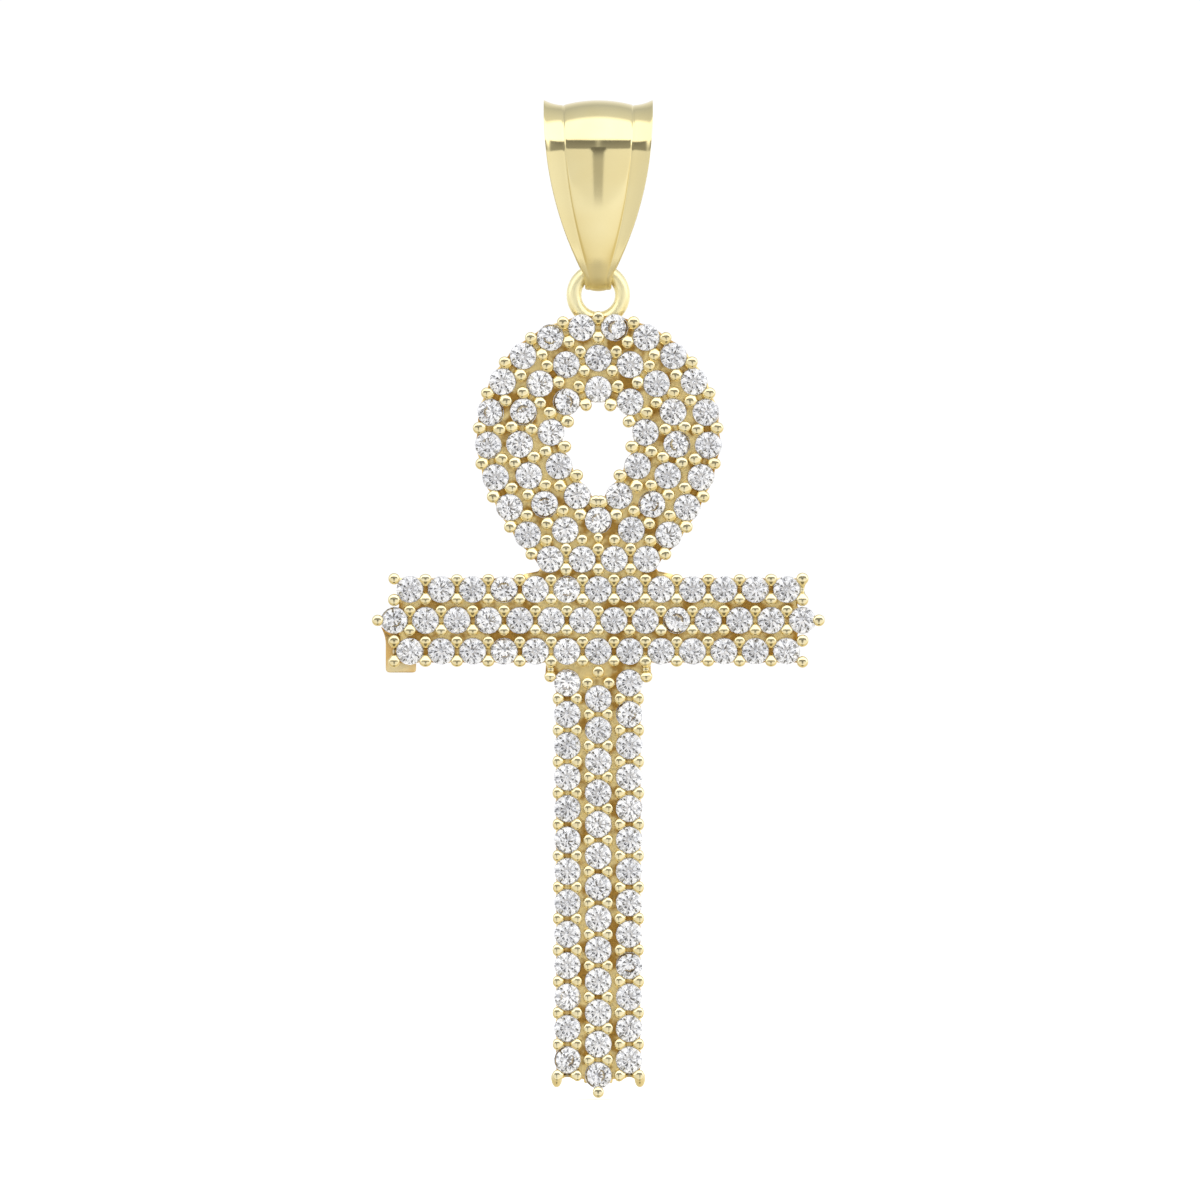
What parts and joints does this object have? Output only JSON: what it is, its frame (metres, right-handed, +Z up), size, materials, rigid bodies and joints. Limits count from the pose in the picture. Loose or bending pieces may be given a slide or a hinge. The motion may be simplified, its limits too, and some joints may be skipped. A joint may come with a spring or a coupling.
{
  "type": "ankh pendant",
  "caption": "Looped cross pendant in yellow gold, set all over with small round stones held by shared beads, hanging by an eye ring from a tapered polished bail.",
  "frame": {"origin": "top of the bail's inside, where the chain bears", "axes": "+Z up along the stem, the front with the stones faces -Y, +X to the viewer's right"},
  "size_m": [0.021, 0.0048, 0.0461],
  "materials": {
    "gold": "polished",
    "stone": "faceted and polished"
  },
  "bodies": {
    "bail": {"bail": "gold"},
    "drop": {"setting": "gold", "loop_stones": "stone", "cross_stones": "stone"}
  },
  "joints": [
    {"name": "drop_swing", "type": "hinge", "parent": "bail", "child": "drop", "pos_m": [0, 0, -0.00738], "axis": [1, 0, 0], "range_deg": [-60, 60]}
  ]
}
